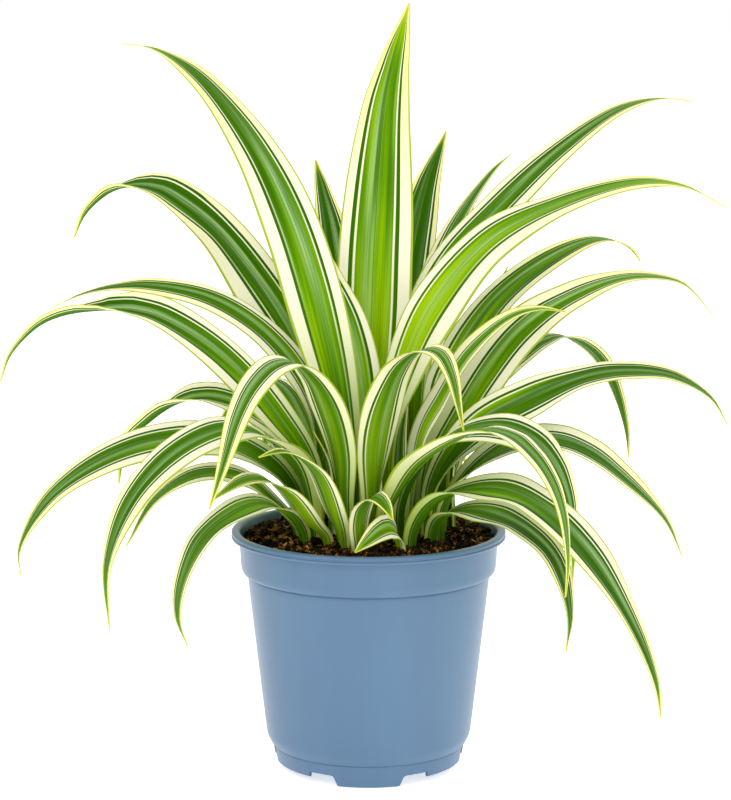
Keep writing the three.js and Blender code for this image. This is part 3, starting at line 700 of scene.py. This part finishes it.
class Midrib:
    """The middle line of a blade: where it is, its direction and its turn, at a share of its length."""

    def __init__(self, leaf):
        heading = math.radians(leaf["heading"])
        self.out = Vector((math.cos(heading), math.sin(heading), 0))
        self.level = Vector((-self.out.y, self.out.x, 0))
        waypoints = [(0, ROOT_HEIGHT, leaf["route"][0][2]), *leaf["route"]]
        root = Vector((*leaf["root"], 0))
        self.turns = [turn for _, _, turn in waypoints]
        places = [root + self.out * reach + Vector((0, 0, height)) for reach, height, _ in waypoints]
        self.points = spline_through(places)
        self.lengths = [0]
        for (first, _), (second, _) in zip(self.points, self.points[1:]):
            self.lengths.append(self.lengths[-1] + (second - first).length)
        self.length = self.lengths[-1]

    def at(self, share):
        """The place on the midrib, and its turn in degrees."""
        target = share * self.length
        index = bisect_left(self.lengths, target, 1, len(self.lengths) - 1)
        part = (target - self.lengths[index - 1]) / (self.lengths[index] - self.lengths[index - 1])
        (first, passed), (second, reached) = self.points[index - 1], self.points[index]
        along = between(passed, reached, part)
        waypoint = min(int(along), len(self.turns) - 2)
        turn = between(self.turns[waypoint], self.turns[waypoint + 1], ease(along - waypoint))
        return first.lerp(second, part), turn

    def frame(self, share):
        """The place on the midrib, the way across the blade there, and the way its face looks."""
        place, turn = self.at(share)
        ahead = (self.at(min(share + 0.01, 1))[0] - self.at(max(share - 0.01, 0))[0]).normalized()
        face, roll = ahead.cross(self.level), math.radians(turn)
        side = self.level * math.cos(roll) + face * math.sin(roll)
        return place, side, ahead.cross(side)


def width_at(leaf, share):
    """The blade's width, from its narrow base to its widest place and on to the point."""
    base = max(leaf["width"] * BASE_WIDTH_SHARE, BASE_WIDTH_LEAST)
    if share < WIDEST_AT:
        return between(base, leaf["width"], ease(share / WIDEST_AT))
    past = (share - WIDEST_AT) / (1 - WIDEST_AT)
    return TIP_WIDTH + (leaf["width"] - TIP_WIDTH) * (1 - past ** leaf.get("taper", TAPER)) ** TIP_ROUNDING


def fold_at(leaf, share):
    """How far each half is folded up from flat, in radians: deep at the base, and less further out."""
    inner = between(BASE_FOLD, BLADE_FOLD, ease(share / WIDEST_AT))
    outer = leaf.get("fold", BLADE_FOLD)
    return math.radians(between(inner, outer, ease((share - WIDEST_AT) / FOLD_RUN)))


# Across the stripes cream ends at CREAM, whatever a leaf's own margins are. A stretch of a blade is the
# share of its length where a change starts, and how long the change takes.
ROLLED_STRETCH = (0.62, 0.13)
INNER_STRETCH = (0.35, 0.25)
TIP_STRETCH = (0.93, 0.07)
ROLLED_MARGINS = 0.4
TIP_MARGIN = 0.42
TIP_MIX = 0.6
CREAM = 0.2


def along_stretch(share, stretch):
    start, run = stretch
    return ease((share - start) / run)


def stripe_place(leaf, share, edge):
    """Where a point lies across the stripes: in cream up to CREAM and from 1 - CREAM on, however wide the
    leaf's own margins are there. The margins thin where a blade has rolled over, and widen at the tip."""
    kept = between(1, ROLLED_MARGINS, along_stretch(share, ROLLED_STRETCH)) if "fold" in leaf else 1
    kept = kept * between(leaf.get("inner_margins", 1), 1, along_stretch(share, INNER_STRETCH))
    tip = TIP_MIX * along_stretch(share, TIP_STRETCH)
    low, high = (between(margin * kept, TIP_MARGIN, tip) for margin in reversed(leaf["margins"]))
    across = (1 - edge) / 2
    if across < low:
        return CREAM * across / low
    if across > 1 - high:
        return 1 - CREAM * (1 - across) / high
    return CREAM + (1 - 2 * CREAM) * (across - low) / (1 - low - high)


def bent_blade(name, leaf, number):
    """A flat grid laid along a midrib, folded to a channel and given its thickness."""
    midrib = Midrib(leaf)
    rows = max(20, round(midrib.length / BLADE_STEP))
    bpy.ops.object.select_all(action="DESELECT")
    bpy.ops.mesh.primitive_grid_add(x_subdivisions=BLADE_ACROSS, y_subdivisions=rows, size=2)
    piece = bpy.context.object
    piece.name = piece.data.name = name
    mesh = piece.data
    flat = [(-vertex.co.x, (vertex.co.y + 1) / 2) for vertex in mesh.vertices]
    frames = {share: midrib.frame(share) for share in {share for _, share in flat}}
    thick_group = piece.vertex_groups.new(name="thickness")
    phase = number * 1.7
    for vertex, (edge, share) in zip(mesh.vertices, flat):
        place, side, up = frames[share]
        fold = fold_at(leaf, share)
        half = width_at(leaf, share) / 2
        channel = 0.55 * abs(edge) + 0.45 * edge ** 2
        wave = EDGE_WAVE * edge ** 3 * math.sin(share * midrib.length / EDGE_WAVE_RUN + phase)
        wave = wave * ease(share * 3) * min(half / 6, 1)
        lift = half * math.sin(fold) * (channel - 0.5) + wave
        vertex.co = (place + side * edge * half * math.cos(fold) + up * lift) * MM
        thick = between(BASE_THICKNESS, LEAF_THICKNESS, ease(share * 3))
        thick = thick * between(1, EDGE_THICKNESS_SHARE, edge ** 2)
        thick = thick * between(1, TIP_THICKNESS_SHARE, ease((share - 0.8) * 5))
        thick_group.add([vertex.index], thick / BASE_THICKNESS, "REPLACE")
    back = math.copysign(1, math.cos(math.radians(leaf["heading"])))
    lie = mesh.attributes.new("lie", "FLOAT_VECTOR", "POINT")
    for value, (edge, share) in zip(lie.data, flat):
        value.vector = (share, leaf["light"], edge * back)
    # across the stripes, and along them in a stretch of the streaks that no other blade has
    stripes = mesh.uv_layers[0]
    stripes.name = "stripes"
    for corner in mesh.loops:
        edge, share = flat[corner.vertex_index]
        along = share * midrib.length / 100 + number * 10
        stripes.data[corner.index].uv = (stripe_place(leaf, share, edge), along)
    mesh.materials.append(blade_face)
    mesh.materials.append(blade_back)
    apply_modifier(piece, "SOLIDIFY", thickness=BASE_THICKNESS * MM, offset=-1, vertex_group="thickness",
                   material_offset=1)
    bpy.ops.object.shade_smooth_by_angle(angle=math.radians(40))
    return piece


# painted light: a faint glow of the blade's own colour, for light through the thin blade, fading at the
# root
LEAF_GLOW = 0.24


def blade_finish(name, codes, painted_sheen_strength):
    """Striped living leaf: cream margins with a yellow-green edge, a dark line and a pale pinstripe inside
    them, and a veined green middle, with a painted satin sheen, a stand-in for reflected light, on the half
    that lies towards the back."""
    lime, mid, deep, line, sheen, cream = (paint(code) for code in codes)
    finish, tree, shader = new_finish(name)
    uv = Wire.node(tree, "UVMap", {"uv_map": "stripes"})
    across, along = (Wire.node(tree, "SeparateXYZ", inputs={0: uv}, output=axis) for axis in (0, 1))
    lie = Wire.node(tree, "Attribute", {"attribute_name": "lie"}, output=1)
    share, light, back = (Wire.node(tree, "SeparateXYZ", inputs={0: lie}, output=axis) for axis in range(3))

    def streaks(over, length, detail=3):
        run = Wire.node(tree, "CombineXYZ", inputs={0: across * over, 1: along * length, 2: 0.0})
        return grain(tree, run, 1, detail, 0.6)

    broad, streak, vein = streaks(6, 0.8, 2), streaks(26, 0.6), streaks(100, 0.8, 2)
    hair = streaks(150, 0.9, 2).step(0.46, 0.64)
    halves = Wire.node(tree, "CombineXYZ", inputs={0: across.step(0.45, 0.55) * 9, 1: along * 0.5, 2: 4.0})
    by_half = grain(tree, halves, 1, 1)
    inset = across.low(1 - across) + (streak - 0.5) * 0.01
    margin = 1 - inset.step(CREAM - 0.005, CREAM)
    root_end = 1 - share.step(0.12, 0.42)
    # the green, brighter in broad bands and at the tip, with veins
    bright = light + (broad - 0.5) * 1.5 - share.step(0.3, 0.7) * 0.45 + share.step(0.85, 1) * 0.5 + 0.15
    # painted shade: the green is darker towards the root, where the leaves crowd
    bright = bright - root_end * 0.25
    green = blend(tree, bright.step(-0.1, 0.75), deep, mid)
    green = blend(tree, (bright + (streak - 0.5) * 0.8).step(0.4, 1.05), green, lime)
    green = blend(tree, (vein - 0.5).step(0.0, 0.14) * 0.4, green, deep)
    # the painted sheen: a satin reflection of the light, painted in streaks on the half towards the back
    painted_sheen_mask = back.band(0.04, 0.34, 0.1) + back.band(-0.5, -0.3, 0.1) * 0.25
    painted_sheen_mask = painted_sheen_mask * share.band(0.36, 0.86, 0.13) * (0.2 + 0.9 * broad.step(0.38, 0.6))
    green = blend(tree, painted_sheen_mask * (0.25 + hair * 0.75) * (1.1 - light * 0.6) * painted_sheen_strength, green, sheen)
    # the keel in the middle: a dark line of painted shade in its crease, beside a bright line of painted
    # highlight
    green = blend(tree, across.band(0.49, 0.5, 0.006) * 0.55, green, line)
    green = blend(tree, across.band(0.504, 0.511, 0.003) * 0.45, green, lime)
    # the dark line along the cream, and the pale pinstripe inside it
    thread = blend(tree, light.step(0.3, 0.8), line, deep)
    green = blend(tree, inset.band(CREAM, 0.243, 0.004) * (0.9 - root_end * 0.6), green, thread)
    pinstripe = inset.band(0.252, 0.278, 0.003) * by_half.step(0.36, 0.46)
    green = blend(tree, pinstripe * (0.9 - root_end * 0.7), green, cream)
    # the cream, yellower towards the tip and green near the root, with its yellow-green edge
    pale = blend(tree, (vein - 0.5).step(0, 0.2) * 0.3, cream, paint("d9d094"))
    pale = blend(tree, share.step(0.5, 1.0) * 0.8, pale, paint("ece06a"))
    pale = blend(tree, (1 - share.step(0.08, 0.46)) * 0.9, pale, paint("a6c044"))
    shade = blend(tree, margin, green, pale)
    shade = blend(tree, (1 - inset.step(0.024, 0.042)) * 0.95, shade, paint("8ea510"))
    shade = blend(tree, share.step(0.95, 1.0) * 0.5, shade, paint("cdbf2a"))
    surface(tree, shader, shade, 0.5 + vein * 0.12 + margin * 0.06)
    # painted shade: the glow fades out towards the root, so the crowded bases stay dark
    glow = blend(tree, root_end, shade, paint("000000"))
    tree.links.new(glow.socket, shader.inputs["Emission Color"])
    shader.inputs["Emission Strength"].default_value = LEAF_GLOW
    relief(tree, shader, vein * 0.5 + streak * 0.5, 0.16, 0.6)
    shader.inputs["Specular IOR Level"].default_value = 0.03
    return finish


FACE_CODES = ("90b400", "5a8c00", "2c5800", "225200", "a8c48c", "e2dec4")
BACK_CODES = ("84a60a", "588608", "366206", "285a06", "a8c08a", "e4e0ba")
blade_face = blade_finish("striped_blade", FACE_CODES, 1.0)
blade_back = blade_finish("striped_blade_back", BACK_CODES, 0.7)

for number, (name, leaf) in enumerate(LEAVES.items()):
    blade = bent_blade("blade_" + name, leaf, number)
    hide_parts("leaf_" + name)
    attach(blade, "root")


# ---- the studio ----
# A wide pale floor under even white light, with three soft lamps: the strongest high on the left in front,
# a weaker one lower on the right in front, and one behind. The camera in front looks a little down.

FLOOR_SIZE = 40000
FLOOR_BELOW = 0.2
FLOOR_GLOW = 0.6

bpy.ops.object.select_all(action="DESELECT")
bpy.ops.mesh.primitive_plane_add(size=FLOOR_SIZE * MM, location=(0, 0, -FLOOR_BELOW * MM))
floor = bpy.context.object
floor.name = "studio_floor"
floor_white, tree, shader = new_finish("pale_floor")
place = Wire.node(tree, "TexCoord", output=3)
mottle = grain(tree, place, 3, 2)
shade = blend(tree, mottle, paint("ffffff"), paint("fbfbfb"))
surface(tree, shader, shade, 0.8 + mottle * 0.1)
shader.inputs["Emission Color"].default_value = (1, 1, 1, 1)
shader.inputs["Emission Strength"].default_value = FLOOR_GLOW
floor.data.materials.append(floor_white)

world = bpy.data.worlds.new("studio_light")
world.use_nodes = True
world.node_tree.nodes["Background"].inputs["Color"].default_value = (1, 1, 1, 1)
world.node_tree.nodes["Background"].inputs["Strength"].default_value = 1.0
bpy.context.scene.world = world

LAMP_TARGET = Vector((0, 0, 0.15))


def soft_lamp(name, place, size, power):
    """A square lamp that looks at the middle of the plant, with its place and size in metres."""
    lamp = bpy.data.lights.new(name, "AREA")
    lamp.size, lamp.energy = size, power
    holder = bpy.data.objects.new(name, lamp)
    holder.location = place
    holder.rotation_mode = "QUATERNION"
    holder.rotation_quaternion = (Vector(place) - LAMP_TARGET).to_track_quat("Z", "Y")
    bpy.context.collection.objects.link(holder)


soft_lamp("key_lamp", (-0.8, -1.4, 1.3), 1.2, 5.5)
soft_lamp("fill_lamp", (0.9, -1.4, 0.6), 1.2, 3.6)
soft_lamp("back_lamp", (0.3, 1.3, 1.3), 0.9, 3)

FRAME_HEIGHT_PX = 800
FOCAL_PX = 2567
POT_AXIS_RIGHT_OF_MIDDLE_PX = 3.1
CAMERA_DISTANCE = 1100
CAMERA_HEIGHT = 336
CAMERA_TILT = 81
camera = bpy.data.cameras.new("camera")
camera.lens = FOCAL_PX / FRAME_HEIGHT_PX * camera.sensor_width
camera.shift_x = -POT_AXIS_RIGHT_OF_MIDDLE_PX / FRAME_HEIGHT_PX
tripod = bpy.data.objects.new("camera", camera)
tripod.location = (0, -CAMERA_DISTANCE * MM, CAMERA_HEIGHT * MM)
tripod.rotation_euler = (math.radians(CAMERA_TILT), 0, 0)
bpy.context.collection.objects.link(tripod)
bpy.context.scene.camera = tripod
bpy.context.scene.view_settings.view_transform = "Standard"
